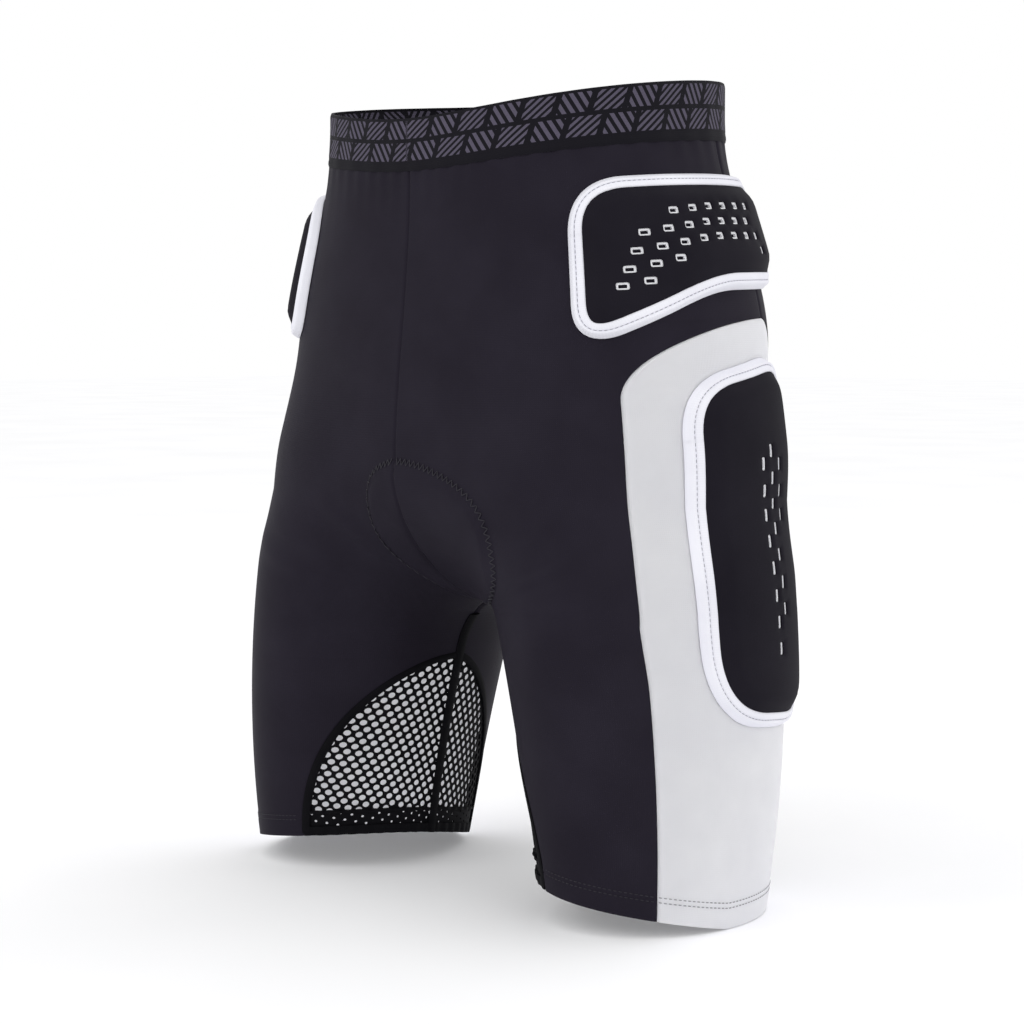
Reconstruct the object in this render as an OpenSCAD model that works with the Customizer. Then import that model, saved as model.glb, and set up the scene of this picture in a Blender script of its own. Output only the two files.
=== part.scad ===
// Padded impact shorts: knit shorts with an elastic waistband, mesh inner thighs,
// a seat pad inside the crotch and bound foam pads on the hips, thighs and tailbone.
// The garment stands on its two hems. +Z is up, the front faces -Y and the
// wearer's left side is +X. Everything is worked out on one smooth skin surface.

/* [Overall] */
// Height of the garment at the back of the waistband
height = 490; // [470:1:520]
// Height of the crotch above the hems
crotch_z = 175; // [165:1:185]
// Height of the elastic waistband
band_h = 36; // [25:1:45]
// Thickness of the knit panels
cloth = 2; // [1.5:0.5:3]

/* [Torso] */
// Half width at the waist
waist_a = 128; // [115:1:140]
// Half width at the hips
hip_a = 161; // [150:1:170]
// Half width at crotch height
seat_a = 151; // [140:1:160]
// Front depth at the waist
waist_front = 92; // [85:1:105]
// Front depth at the hips
hip_front = 105; // [95:1:115]
// Back depth at the waist
waist_back = 110; // [100:1:120]
// Back depth at the hips
hip_back = 127; // [115:1:135]
// Back depth at crotch height
seat_back = 109; // [100:1:120]
// How much lower the waist is at the front than at the back
front_drop = 25; // [0:1:35]

/* [Legs] */
// Half width of a leg at the hem
hem_p = 60; // [55:1:68]
// Half depth of a leg at the hem
hem_q = 73; // [66:1:80]
// Distance of a leg's axis from the middle at the hem
hem_x = 126; // [118:1:134]
// How much the hem rises at the front of the inner thigh
hem_rise = 22; // [0:1:30]

/* [Side panels and mesh] */
// Front edge of the side panel, as a share of the way round from front to back
side_front = 0.367; // [0.34:0.001:0.39]
// Rear edge of the side panel at its top, as a share of the way round
side_rear = 0.67; // [0.66:0.005:0.70]
// Rear edge of the side panel on the leg, where it sweeps back
side_rear_low = 0.8; // [0.72:0.01:0.8]
// Height at which the side panel starts to arch over
arch_z = 300; // [280:1:310]
// Height of the arch
arch_h = 48; // [30:1:60]
// Height of the top of the mesh on the inner thigh
mesh_top = 131; // [100:1:132]
// Share of the leg that the mesh takes in front of the inseam
mesh_front = 0.205; // [0.15:0.005:0.24]
// Share of the leg that the mesh takes behind the inseam
mesh_rear = 0.16; // [0.12:0.005:0.18]

/* [Pads] */
// Foam thickness of the hip, thigh and tailbone pads
foam_h = 8; // [5:0.5:10]
// Thickness of the cover fabric over the foam
cover_h = 1.2; // [1:0.1:2]
// Width of the binding tape round each pad
tape_w = 8; // [6:0.5:10]
// Thickness of the seat pad's foam
seat_h = 7; // [4:0.5:9]

/* [Hidden] */
// Heights at which the torso reaches its hip and waist sections
hip_z = 330;
waist_z = height - 20;
seat_z = 300;
belly_z = 250;
belly_span = 180;
// The torso rounds off below this height
round_z = 275;
// Exponent of the torso's section, 2 for an ellipse
square = 2.3;
// The leg at its upper end, inside the torso
leg_top = 240;
top_x = 93;
hem_y = -14;
top_y = -5;
top_p = 83;
top_q = 96;
leg_cap = 120;
leg_cap_from = 0.8;
// Width over which leg and torso blend
soft = 36;
torso_unit = 100;
leg_unit = 75;
// Part of each hem that stays flat on the ground
hem_flat = 5;
// Direction, seen from a leg's axis, in which its hem is highest
hem_peak = -135;
side_rise = 7;
// Centre that the rows of the torso turn about, and how the rows fork at the crotch
pivot_z = 300;
lift = 40;
fork = 40;
level = 0.25;
reach = 260;
halvings = 17;
step = 0.5;
seed_r = 100;
// Peak of the side panel's arch, as a share of the way round
arch_t = 0.61;
// The columns swerve just above the crotch; how much in front and behind, and how far up
swerve_front = -0.025;
swerve_rear = 0.031;
swerve_span = 23;
// Heights between which the side panel's rear edge sweeps forward
sweep_low = 130;
sweep_high = 280;
// Curve of the mesh's rear edge, and how its points narrow to nothing at the top
mesh_rear_curve = 0.75;
mesh_tip = 1 / 3;
// Columns of facets across a panel, a mesh piece and half of the waistband
panel_cols = 9;
back_cols = 8;
mesh_cols = 4;
band_cols = 18;
// Length of one whole way round at the side and at the back
girth = 450;
girth_back = 400;
gap = 0.4;
band_grow = 0.8;
band_h2 = 2.4;
hem_square = 40;
// Blank label inside the back of the waistband
label_w = 30;
label_h = 42;
label_thick = 0.8;
label_clear = 1.4;
// Tape over the inseam, and the layers of the seat pad
seam_tape_w = 7.2;
seam_tape_h = 0.8;
seam_tape_t = 0.008;
seat_clear = 1.6;
liner_h = 1;
seat_cols = 3;
seat_fade_from = 0.1;
// Height of the row where the belly reaches furthest forward
belly_row = 272;
black = "#2b2932";
white = "#dcdce8";
tape = "#e9e9f2";
foam = "#f2f2f4";
net = "#23222a";
// Corners of the pads: millimetres round from the side seam, height, corner size
hip_outline = [[-78, 431, 30], [88, 429, 28], [90, 370, 26], [-4, 369, 24], [-78, 335, 24]];
thigh_outline = [[-26, 308, 30], [60, 325, 30], [65, 112, 30], [-26, 122, 40]];
tail_outline = [[-46, 398, 26], [46, 398, 26], [30, 262, 26], [-30, 262, 26]];
// Edge of one half of the seat pad, from front to back: share of the way round,
// height, and height of the point on the middle line that each rib starts from
seat_edge_front = [[0.05, 272, 272], [0.13, 264, 264], [0.168, 253, 250], [0.182, 238, 232],
    [0.182, 220, 212], [0.18, 200, 198], [0.15, 178, 188], [0.08, 160, 180], [0, 150, 175]];
seat_edge_rear = [[0.92, 160, 180], [0.86, 178, 188], [0.82, 205, 200],
    [0.81, 235, 218], [0.815, 262, 240], [0.84, 286, 268], [0.9, 302, 290], [0.96, 306, 306]];

// ---- numbers ----
function mix(a, b, t) = a + (b - a) * t;
function clamp(t) = min(1, max(0, t));
function ease(t) = let (c = clamp(t)) c * c * (3 - 2 * c);
function unit(v) = v / norm(v);

// ---- the skin: a field that is 0 on the surface and below 0 inside ----
function waist_share(z) = ease((z - hip_z) / (waist_z - hip_z));
function seat_share(z) = ease((seat_z - z) / (seat_z - crotch_z));
function torso_a(z) = mix(hip_a, waist_a, waist_share(z)) - (hip_a - seat_a) * seat_share(z);
function torso_back(z) =
    mix(hip_back, waist_back, waist_share(z)) - (hip_back - seat_back) * seat_share(z);
function torso_front(z) = mix(hip_front, waist_front, ease((z - belly_z) / belly_span));
function torso_field(p) =
    let (
        b = p.y < 0 ? torso_front(p.z) : torso_back(p.z),
        plan = pow(abs(p.x) / torso_a(p.z), square) + pow(abs(p.y) / b, square),
        drop = max(0, round_z - p.z) / (round_z - crotch_z)
    )
    torso_unit * (sqrt(pow(plan, 2 / square) + drop * drop) - 1);
function leg_share(z) = clamp(z / leg_top);
function leg_x(z) = mix(hem_x, top_x, pow(leg_share(z), 2));
function leg_y(z) = mix(hem_y, top_y, leg_share(z));
function leg_field(p) =
    let (
        k = leg_share(p.z),
        across = (abs(p.x) - leg_x(p.z)) / mix(hem_p, top_p, k),
        along = (p.y - leg_y(p.z)) / mix(hem_q, top_q, 1 - pow(1 - k, 2)),
        rise = max(0, p.z - leg_cap_from * leg_top) / leg_cap
    )
    leg_unit * (sqrt(across * across + along * along + rise * rise) - 1);
function blend(a, b) = let (h = max(soft - abs(a - b), 0) / soft) min(a, b) - h * h * soft / 4;
function field(p) = blend(torso_field(p), leg_field(p));
function slope(p, d) = field(p + step * d) - field(p - step * d);
function normal(p) = unit([slope(p, [1, 0, 0]), slope(p, [0, 1, 0]), slope(p, [0, 0, 1])]);

// Where a ray from inside meets the skin; it stops at the middle plane
function halve(o, d, lo, hi, n) =
    n == 0 ? o + d * (lo + hi) / 2 :
    let (m = (lo + hi) / 2)
    field(o + d * m) < 0 ? halve(o, d, m, hi, n - 1) : halve(o, d, lo, m, n - 1);
function hit(o, d) =
    let (e = unit(d), far = e.x < -1e-9 && o.x > 1e-6 ? min(reach, -o.x / e.x) : reach)
    halve(o, e, 0, far, halvings);

// ---- rows and columns on the left half ----
// t runs round from the front middle or inseam (0), past the side (0.5) to the back
// middle or inseam (1). s is the height at the side.
function hem_tilt(turn) =
    max(0, (hem_rise + hem_flat) * (0.5 + 0.5 * cos(turn - hem_peak)) - hem_flat);
function waist_tilt(turn) =
    side_rise * pow(cos(turn), 2) - front_drop * (0.5 - 0.5 * sin(turn));
function seam_turn(b, o) = atan2(b.y - o.y, b.x - o.x);
// Everything that a row's points share: ray origin, and the front and back seam points
function row(s) =
    let (
        w = ease((s - crotch_z + fork) / fork),
        up = clamp((s - crotch_z) / (pivot_z - crotch_z)),
        base = min(s, crotch_z),
        o = [mix(leg_x(base), 0, ease(up)), mix(leg_y(base), 0, ease(up)),
            s < crotch_z ? s + lift * w : mix(s + lift, max(s, pivot_z), up)],
        bottom = hit([0, 0, pivot_z], [0, 0, -1]),
        inseam = [0, mix(leg_y(base), 0, w), mix(s, bottom.z, w)],
        a = 90 * up,
        front = s < crotch_z ? inseam : s >= pivot_z ? [0, -seed_r, s] :
            hit([0, 0, pivot_z], [0, -sin(a), -cos(a)]),
        back = s < crotch_z ? inseam : s >= pivot_z ? [0, seed_r, s] :
            hit([0, 0, pivot_z], [0, sin(a), -cos(a)]),
        front_turn = seam_turn(front, o),
        back_turn = seam_turn(back, o)
    )
    [o, front, back, front_turn > 0 ? front_turn - 360 : front_turn,
        back_turn < 0 ? back_turn + 360 : back_turn];
function on_row(t, s, r) =
    let (
        k = abs(2 * t - 1),
        b = t < 0.5 ? r[1] : r[2],
        turn = (t < 0.5 ? r[3] : r[4]) * k,
        w = ease((k - level) / (1 - level)),
        far = mix(norm([b.x - r[0].x, b.y - r[0].y]), seed_r, ease(2 - 2 * k)),
        tilt = hem_tilt(turn) * clamp(1 - s / crotch_z)
            + waist_tilt(turn) * clamp((s - pivot_z) / (height - pivot_z)),
        from = [r[0].x, r[0].y, mix(s, r[0].z, w) + tilt]
    )
    hit(from, [far * cos(turn), far * sin(turn), mix(s, b.z, w) + tilt - from.z]);
function skin(t, s) = on_row(t, s, row(s));
// A skin point moved out along its normal; the hem's edge is cut level
function outward(p, d) =
    let (n = normal(p))
    p + d * unit([n.x, n.y, n.z * clamp(p.z / hem_square)]);
function flip(p, side) = [side * p.x, p.y, p.z];

// ---- solids made of rows of points ----
// Faces of a band of quads between rows of the same length, all of them triangles
function tiles(rows, cols, first, wrap) =
    [for (j = [0:rows - 2], i = [0:cols - (wrap ? 1 : 2)])
        let (
            a = first + j * cols + i,
            b = first + j * cols + (i + 1) % cols,
            c = a + cols,
            d = b + cols
        )
        each [[a, b, d], [a, d, c]]];
function turned(faces) = [for (f = faces) [f[2], f[1], f[0]]];
function rim(ring, shift) =
    let (n = len(ring))
    [for (i = [0:n - 1])
        let (a = ring[i], b = ring[(i + 1) % n])
        each [[a, a + shift, b + shift], [a, b + shift, b]]];
// Closed sheet between two grids; wrap joins the last column to the first
module slab(top, bottom, wrap = false) {
    rows = len(top);
    cols = len(top[0]);
    n = rows * cols;
    front = tiles(rows, cols, 0, wrap);
    back = turned(tiles(rows, cols, n, wrap));
    low = [for (i = [0:cols - 1]) i];
    high = [for (i = [cols - 1:-1:0]) (rows - 1) * cols + i];
    right = [for (j = [1:rows - 2]) j * cols + cols - 1];
    left = [for (j = [rows - 2:-1:1]) j * cols];
    edge = wrap ? concat(rim(low, n), rim(high, n)) : rim(concat(low, right, high, left), n);
    polyhedron(points = concat([for (r = top) each r], [for (r = bottom) each r]),
        faces = turned(concat(front, back, edge)), convexity = 8);
}
// Closed disc between two sets of rings that shrink to a middle point
module disc(top, bottom, top_mid, bottom_mid) {
    rows = len(top);
    cols = len(top[0]);
    n = rows * cols + 1;
    cap = [for (i = [0:cols - 1])
        [(rows - 1) * cols + i, (rows - 1) * cols + (i + 1) % cols, rows * cols]];
    front = concat(tiles(rows, cols, 0, true), cap);
    back = turned([for (f = front) [f[0] + n, f[1] + n, f[2] + n]]);
    edge = rim([for (i = [0:cols - 1]) i], n);
    polyhedron(points = concat([for (r = top) each r], [top_mid],
            [for (r = bottom) each r], [bottom_mid]),
        faces = concat(front, back, edge), convexity = 8);
}
// Closed loop swept through sections with the same number of points
module loop(sections) {
    cols = len(sections[0]);
    rows = len(sections);
    faces = [for (f = tiles(rows + 1, cols, 0, true)) [for (v = f) v % (rows * cols)]];
    polyhedron(points = [for (r = sections) each r], faces = faces, convexity = 8);
}

// ---- knit panels ----
// Takes out the swerve, so that seams and pads run straight past the crotch
function steady(t, s) =
    let (x = max(0, s - crotch_z) / swerve_span)
    t + abs(2 * t - 1) * (t < 0.5 ? swerve_front : swerve_rear) * x * exp((1 - x * x) / 2);
function arch(s, edge) =
    s < arch_z ? steady(edge, s) :
    s > arch_z + arch_h ? arch_t :
    mix(edge, arch_t, 1 - sqrt(1 - pow((s - arch_z) / arch_h, 2)));
function rear_edge(s) =
    mix(side_rear_low, side_rear, ease((s - sweep_low) / (sweep_high - sweep_low)));
function mesh_edge_front(s) =
    s >= mesh_top ? 0 : mesh_front * sqrt(1 - pow(s / mesh_top, 2));
function mesh_edge_rear(s) =
    s >= mesh_top ? 1 : 1 - mesh_rear * pow(1 - pow(s / mesh_top, 2), mesh_rear_curve);
leg_rows = [0, 24, 50, 80, 105, 122, mesh_top];
fork_rows = [150, 165, crotch_z, 186, 200, 220, 245, belly_row];
arch_turns = [0, 18, 36, 54, 70];
arch_end = 84;
arch_rows = [for (a = arch_turns) arch_z + arch_h * sin(a)];
torso_rows = [arch_z + arch_h, 372, 400, 428, height - band_h];
body_rows = concat(leg_rows, fork_rows, arch_rows, torso_rows);
// Rows of a panel between two edges that are functions of the height
module panel(heights, starts, ends, cols) {
    grid = [for (j = [0:len(heights) - 1])
        let (s = heights[j], r = row(s))
        [for (i = [0:cols]) on_row(mix(starts[j], ends[j], i / cols), s, r)]];
    slab(grid, [for (r = grid) [for (p = r) outward(p, -cloth)]]);
}
module front_panel() {
    panel(body_rows, [for (s = body_rows) mesh_edge_front(s)],
        [for (s = body_rows) arch(s, side_front)], panel_cols);
}
module back_panel() {
    panel(body_rows, [for (s = body_rows) arch(s, rear_edge(s))],
        [for (s = body_rows) mesh_edge_rear(s)], back_cols);
}
module side_panel() {
    heights = concat(leg_rows, fork_rows, arch_rows, [arch_z + arch_h * sin(arch_end)]);
    panel(heights, [for (s = heights) arch(s, side_front)],
        [for (s = heights) arch(s, rear_edge(s))], panel_cols);
}
mesh_rows = [0, 24, 50, 80, 105, 122, mesh_top - 1];
module mesh_front() {
    panel(mesh_rows, [for (s = mesh_rows) min(seam_tape_t, mesh_edge_front(s) * mesh_tip)],
        [for (s = mesh_rows) mesh_edge_front(s)], mesh_cols);
}
module mesh_rear() {
    panel(mesh_rows, [for (s = mesh_rows) mesh_edge_rear(s)],
        [for (s = mesh_rows) max(1 - seam_tape_t, 1 - (1 - mesh_edge_rear(s)) * mesh_tip)], mesh_cols);
}
// Narrow tape over the seam between the two mesh pieces, from hem to crotch
module inseam_tape() {
    heights = [0, 24, 50, 80, 105, 131, 150];
    seam = [for (s = heights) skin(0, s)];
    grid = [for (p = seam)
        [for (side = [-1, 1])
            let (n = normal(p), across = unit(cross(n, [0, 0, 1])))
            outward(p + side * seam_tape_w / 2 * across, gap)]];
    slab(grid, [for (r = grid)
        [for (p = r) p + seam_tape_h * unit([p.x - hem_x, p.y - hem_y, 0])]]);
}
module waistband() {
    heights = [height - band_h + gap, height - band_h / 2, height];
    ways = [for (i = [0:band_cols]) i / band_cols];
    grid = [for (s = heights)
        let (r = row(s))
        concat([for (t = ways) on_row(t, s, r)],
            [for (i = [band_cols - 1:-1:1]) flip(on_row(ways[i], s, r), -1)])];
    outer = [for (r = grid) [for (p = r) outward(p, band_grow)]];
    inner = [for (r = grid) [for (p = r) outward(p, band_grow - band_h2)]];
    slab(outer, inner, true);
}

// ---- pads ----
// Outline through rounded corners, with extra points along the straight stretches
function outline(corners, arc = 5, run = 4) =
    let (n = len(corners))
    [for (i = [0:n - 1])
        let (
            p = corners[i],
            before = corners[(i + n - 1) % n],
            after = corners[(i + 1) % n],
            here = [p.x, p.y],
            back = unit([before.x, before.y] - here),
            on = unit([after.x, after.y] - here),
            next = [after.x, after.y] - on * after.z
        )
        each concat(
            [for (k = [0:arc])
                let (q = k / arc)
                here + back * p.z * pow(1 - q, 2) + on * p.z * q * q],
            [for (k = [1:run - 1]) mix(here + on * p.z, next, k / run)])];
function middle(points) = [for (i = [0, 1]) [for (p = points) p[i]] * [for (p = points) 1]]
    / len(points);
// A chart gives the skin point for millimetres round and height
function side_chart(q) = skin(steady(0.5 + q.x / girth, q.y), q.y);
function back_chart(q) = flip(skin(1 - abs(q.x) / girth_back, q.y), q.x < 0 ? 1 : -1);
function chart(q, behind) = behind ? back_chart(q) : side_chart(q);
function rings(corners, shares, behind) =
    let (edge = outline(corners), mid = middle(edge))
    [for (k = shares) [for (q = edge) chart(mix(mid, q, k), behind)]];
// A pad's height above the skin, full in the middle and thin at its edge
pad_shares = [1, 0.86, 0.6, 0.3];
pad_heights = [0.35, 0.85, 1, 1];
module pad_foam(corners, behind = false) {
    base = rings(corners, pad_shares, behind);
    mid = chart(middle(outline(corners)), behind);
    disc([for (j = [0:3]) [for (p = base[j]) outward(p, gap + foam_h * pad_heights[j])]],
        [for (r = base) [for (p = r) outward(p, gap)]],
        outward(mid, gap + foam_h), outward(mid, gap));
}
module pad_cover(corners, behind = false) {
    base = rings(corners, pad_shares, behind);
    mid = chart(middle(outline(corners)), behind);
    low = [for (j = [0:3]) 2 * gap + foam_h * pad_heights[j]];
    disc([for (j = [0:3]) [for (p = base[j]) outward(p, low[j] + cover_h)]],
        [for (j = [0:3]) [for (p = base[j]) outward(p, low[j])]],
        outward(mid, low[3] + cover_h), outward(mid, low[3]));
}
// Tape folded over the pad's edge, swept round the outline
tape_slope = 0.8;
module pad_binding(corners, behind = false) {
    edge = outline(corners);
    mid = middle(edge);
    n = len(edge);
    tall = foam_h * pad_heights[0] + 2 * gap + 2 * cover_h;
    loop([for (i = [0:n - 1])
        let (
            on = unit(edge[(i + 1) % n] - edge[(i + n - 1) % n]),
            out = [on.y, -on.x] * sign(cross(edge[i] - mid, on)),
            near = chart(edge[i] + out * gap, behind),
            far = chart(edge[i] + out * (gap + tape_w / 2), behind)
        )
        [outward(near, gap), outward(near, tall), outward(far, tall * tape_slope), outward(far, gap)]]);
}
module hip_foam() pad_foam(hip_outline);
module hip_cover() pad_cover(hip_outline);
module hip_binding() pad_binding(hip_outline);
module thigh_foam() pad_foam(thigh_outline);
module thigh_cover() pad_cover(thigh_outline);
module thigh_binding() pad_binding(thigh_outline);

// ---- seat pad inside the crotch ----
// Ribs run from the middle line out to the edge, first on one side, then on the other
function seat_rib(e, side, n) =
    let (t0 = e[0] < 0.5 ? 0 : 1)
    [for (i = [0:n]) flip(skin(mix(t0, e[0], i / n), mix(e[2], e[1], i / n)), side)];
function reversed(v) = [for (i = [len(v) - 1:-1:0]) v[i]];
function seat_row(e) =
    let (left = seat_rib(e, 1, seat_cols), right = seat_rib(e, -1, seat_cols))
    concat(reversed(right), [for (i = [1:seat_cols]) left[i]]);
// The foam is full along the middle line and thin at its edge
function seat_fade(i) = sin(180 * mix(seat_fade_from, 1 - seat_fade_from, i / (2 * seat_cols)));
module seat_layer(depth, thick, fade) {
    grid = reversed([for (e = concat(seat_edge_front, seat_edge_rear)) seat_row(e)]);
    slab([for (r = grid) [for (p = r) outward(p, -depth)]],
        [for (r = grid) [for (i = [0:len(r) - 1])
            outward(r[i], -depth - thick * (fade ? seat_fade(i) : 1))]]);
}

// ---- colours and places ----
// The origin lies under the middle of the depth, from the belly to the tailbone pad
depth_mid = (hip_back + 2 * gap + foam_h + cover_h + skin(0, belly_row).y) / 2;
module placed() translate([0, -depth_mid, 0]) children();
module waistband_elastic() color(black) placed() waistband();
module front_panel_left() color(black) placed() front_panel();
module back_panel_left() color(black) placed() back_panel();
module side_panel_left() color(white) placed() side_panel();
module mesh_front_left() color(net) placed() mesh_front();
module mesh_rear_left() color(net) placed() mesh_rear();
module inseam_tape_left() color(black) placed() inseam_tape();
module seat_pad_foam() color(foam) placed() seat_layer(cloth + seat_clear, seat_h, true);
module seat_pad_liner() color(net) placed()
    seat_layer(cloth + seat_clear + seat_h + gap, liner_h, false);
module hip_pad_left_foam() color(foam) placed() hip_foam();
module hip_pad_left_cover() color(black) placed() hip_cover();
module hip_pad_left_binding() color(tape) placed() hip_binding();
module thigh_pad_left_foam() color(foam) placed() thigh_foam();
module thigh_pad_left_cover() color(black) placed() thigh_cover();
module thigh_pad_left_binding() color(tape) placed() thigh_binding();
module tailbone_pad_foam() color(foam) placed() pad_foam(tail_outline, true);
module tailbone_pad_cover() color(black) placed() pad_cover(tail_outline, true);
module tailbone_pad_binding() color(tape) placed() pad_binding(tail_outline, true);
// Blank label hanging inside the back of the waistband
module care_label() {
    inside = skin(1, height - band_h / 2).y + band_grow - band_h2 - label_clear;
    color(tape) placed()
        translate([-label_w / 2, inside - label_thick, height - band_h / 2 - label_h])
        cube([label_w, label_thick, label_h]);
}
module right() mirror([1, 0, 0]) children();

waistband_elastic();
front_panel_left();
right() front_panel_left();  // front_panel_right
back_panel_left();
right() back_panel_left();  // back_panel_right
side_panel_left();
right() side_panel_left();  // side_panel_right
mesh_front_left();
right() mesh_front_left();  // mesh_front_right
mesh_rear_left();
right() mesh_rear_left();  // mesh_rear_right
inseam_tape_left();
right() inseam_tape_left();  // inseam_tape_right
seat_pad_foam();
seat_pad_liner();
hip_pad_left_foam();
hip_pad_left_cover();
hip_pad_left_binding();
right() hip_pad_left_foam();  // hip_pad_right_foam
right() hip_pad_left_cover();  // hip_pad_right_cover
right() hip_pad_left_binding();  // hip_pad_right_binding
thigh_pad_left_foam();
thigh_pad_left_cover();
thigh_pad_left_binding();
right() thigh_pad_left_foam();  // thigh_pad_right_foam
right() thigh_pad_left_cover();  // thigh_pad_right_cover
right() thigh_pad_left_binding();  // thigh_pad_right_binding
tailbone_pad_foam();
tailbone_pad_cover();
tailbone_pad_binding();
care_label();
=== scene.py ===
"""Padded impact shorts: every cloth, pad, tape and stitch row is worked out on one skin
surface, the same one as the CAD model's. Lengths are in millimetres until place()."""
import math

import bpy
import numpy as np
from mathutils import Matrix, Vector
from mathutils.geometry import delaunay_2d_cdt


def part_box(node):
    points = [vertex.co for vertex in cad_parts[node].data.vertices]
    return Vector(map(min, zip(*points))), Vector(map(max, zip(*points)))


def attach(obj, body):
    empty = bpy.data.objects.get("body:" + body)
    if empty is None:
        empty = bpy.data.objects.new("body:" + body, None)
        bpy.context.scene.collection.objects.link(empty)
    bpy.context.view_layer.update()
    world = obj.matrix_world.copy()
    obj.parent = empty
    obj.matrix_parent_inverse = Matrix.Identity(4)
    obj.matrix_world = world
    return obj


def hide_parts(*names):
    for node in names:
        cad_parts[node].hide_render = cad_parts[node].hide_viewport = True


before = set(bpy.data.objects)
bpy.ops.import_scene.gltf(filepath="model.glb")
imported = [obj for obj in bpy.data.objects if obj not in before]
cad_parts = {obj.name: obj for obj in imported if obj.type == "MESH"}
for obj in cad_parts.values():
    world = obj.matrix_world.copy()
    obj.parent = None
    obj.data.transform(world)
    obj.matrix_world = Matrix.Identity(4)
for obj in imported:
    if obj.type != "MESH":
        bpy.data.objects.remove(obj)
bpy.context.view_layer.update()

# ---- sizes, as in the CAD model ----
HEIGHT = 490.0
CROTCH = 175.0
BAND = 36.0
# Half width (A), depth in front (F) and depth behind (B) of the waist, hips and seat
WAIST_A, HIP_A, SEAT_A = 128.0, 161.0, 151.0
WAIST_F, HIP_F = 92.0, 105.0
WAIST_B, HIP_B, SEAT_B = 110.0, 127.0, 109.0
# Heights where the hips start to narrow upwards, where the waist is reached, and where the
# seat starts to narrow downwards
HIP_Z, WAIST_Z, SEAT_Z = 330.0, 470.0, 300.0
# The belly flattens from BELLY_Z up, over BELLY_SPAN; it stands out most at BELLY_ROW
BELLY_Z, BELLY_SPAN, BELLY_ROW = 250.0, 180.0, 272.0
# Below ROUND_Z the torso closes to a dome; SQUARE is how square its plan is
ROUND_Z, SQUARE = 275.0, 2.3
# The leg's axis ends at LEG_TOP; above LEG_CAP_FROM of that it closes, over LEG_CAP
LEG_TOP, LEG_CAP, LEG_CAP_FROM = 240.0, 120.0, 0.8
# The leg at the hem and at its top: place of the axis, half width (P) and half depth (Q)
HEM_X, TOP_X, HEM_Y, TOP_Y = 126.0, 93.0, -14.0, -5.0
HEM_P, TOP_P, HEM_Q, TOP_Q = 60.0, 83.0, 73.0, 96.0
# Width of the blend of torso and leg, and the length that one unit of each stands for
SOFT, TORSO_UNIT, LEG_UNIT = 36.0, 100.0, 75.0
# The waist dips in front and rises at the sides; the hem rises at its inner front, at
# HEM_PEAK degrees from the side, and is flat elsewhere
FRONT_DROP, SIDE_RISE, HEM_RISE, HEM_FLAT, HEM_PEAK = 25.0, 7.0, 22.0, 5.0, 135.0
# Where the rays that find the skin start and how they fan out near the crotch
PIVOT, LIFT, FORK, LEVEL, SIDE_RUN, MIDDLE_RUN = 300.0, 40.0, 40.0, 0.25, 100.0, 90.0
# Length of a ray, halvings of the search along it, and the step that a normal is taken over
REACH, HALVINGS, STEP = 260.0, 22, 0.5
# Edges of the white side panel, as t, and the heights between which the rear one sweeps
SIDE_FRONT, SIDE_REAR, SIDE_REAR_LOW, ARCH_T = 0.367, 0.67, 0.80, 0.61
SWEEP_LOW, SWEEP_HIGH = 130.0, 280.0
# Where that panel's arched top starts, and its height
ARCH_Z, ARCH_H = 300.0, 48.0
# The net: height of its tip, and its reach at the hem in front and behind, as t
MESH_TOP, MESH_FRONT, MESH_REAR = 131.0, 0.205, 0.16
# Millimetres that t from 0 to 1 stands for on the side, the back, the leg and the seat
GIRTH, GIRTH_BACK, GIRTH_LEG, SEAT_GIRTH = 450.0, 400.0, 430.0, 445.0
# Below this height the layers of the cloth are set more and more level
HEM_SQUARE = 40.0
# Pads: gap between layers, foam, cover, share of the foam at its edge and width of the slope
GAP, FOAM_H, COVER_H = 0.4, 8.0, 1.2
PAD_EDGE = 0.35
PAD_RAMP = 14.0
# Corners of the pads: millimetres across, height, and how far the rounding reaches
HIP_CORNERS = [(-78, 431, 30), (88, 429, 28), (90, 370, 26), (-4, 369, 24), (-78, 335, 24)]
THIGH_CORNERS = [(-26, 308, 30), (60, 325, 30), (65, 112, 30), (-26, 122, 40)]
TAIL_CORNERS = [(-46, 398, 26), (46, 398, 26), (30, 262, 26), (-30, 262, 26)]
# Edge of the seat pad: t, height there, and height of the same rib at the middle
SEAT_FRONT = [(0.05, 272, 272), (0.13, 264, 264), (0.168, 253, 250), (0.182, 238, 232),
              (0.182, 220, 212), (0.18, 200, 198), (0.15, 178, 188), (0.08, 160, 180),
              (0.0, 150, 175)]
SEAT_REAR = [(1.0, 150, 175), (0.92, 160, 180), (0.86, 178, 188), (0.82, 205, 200),
             (0.81, 235, 218), (0.815, 262, 240), (0.84, 286, 268), (0.9, 302, 290),
             (0.96, 306, 306)]

# ---- sizes of the pieces made here ----
CLOTH = 1.1
NET = 0.8
BAND_THICK = 1.8
SEAT_DEPTH, SEAT_H, LINER_H = 3.6, 7.0, 1.0
# Heights of the two rows of stitches above the hem
HEM_ROWS = (12.0, 15.0)
SIDES = {"left": 1, "right": -1}


# ---- numbers ----
def mix(a, b, t):
    return a + (b - a) * t


def ease(t):
    c = np.clip(t, 0, 1)
    return c * c * (3 - 2 * c)


def vec(x, y, z):
    return np.stack(np.broadcast_arrays(x, y, z), -1).astype(float)


def columns(u, v):
    """Two arrays of the same shape as the columns of one."""
    return np.stack([u.ravel(), v.ravel()], 1)


def unit(v):
    return v / np.linalg.norm(v, axis=-1, keepdims=True)


def bell(x, width):
    return np.exp(-(x / width) ** 2)


def run_length(line):
    """How far along a line of points each of them is."""
    steps = np.linalg.norm(np.diff(line, axis=0), axis=1)
    return np.concatenate([[0], np.cumsum(steps)])


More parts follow.
